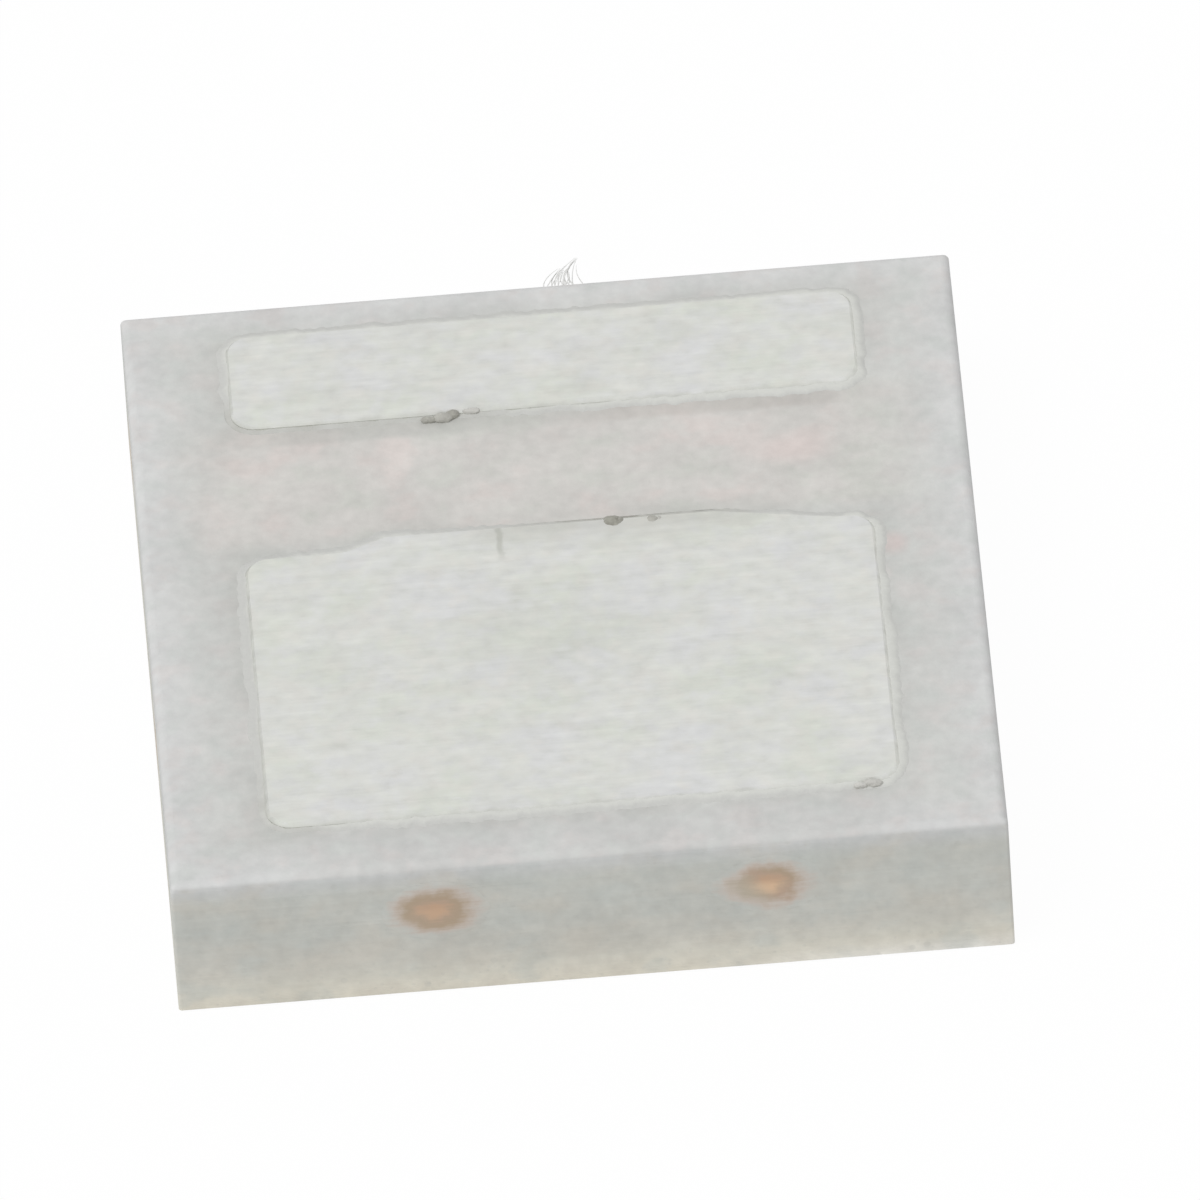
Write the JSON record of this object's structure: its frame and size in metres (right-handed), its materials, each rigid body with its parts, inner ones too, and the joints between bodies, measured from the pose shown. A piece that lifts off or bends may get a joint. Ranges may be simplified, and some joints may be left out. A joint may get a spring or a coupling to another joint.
{
  "type": "smd led",
  "caption": "Square moulded surface-mount light-emitting diode, lying on its light-emitting face with a wide and a narrow solder pad upwards.",
  "frame": {"origin": "middle of the package on the plane of the rim round the light-emitting face, on which it lies", "axes": "+Z out of the solder pads, through the thickness; +X along the pads' long sides; +Y from the wide cathode pad to the narrow anode pad"},
  "size_m": [0.003, 0.003, 0.0006],
  "materials": {
    "white_moulding": "matte",
    "plated_copper": "satin",
    "phosphor_silicone": "satin",
    "chip": "gloss",
    "die_adhesive": "satin",
    "gold_wire": "polished",
    "silicon": "satin",
    "silver_epoxy": "satin"
  },
  "bodies": {
    "root": {"moulded_body": "white_moulding", "cathode_lead": "plated_copper", "anode_lead": "plated_copper", "phosphor_fill": "phosphor_silicone", "chip_1": "chip", "chip_2": "chip", "die_attach_1": "die_adhesive", "die_attach_2": "die_adhesive", "bond_wire_anode": "gold_wire", "bond_wire_link": "gold_wire", "bond_wire_cathode": "gold_wire", "esd_diode": "silicon", "esd_adhesive": "silver_epoxy", "esd_wire": "gold_wire"}
  },
  "joints": []
}
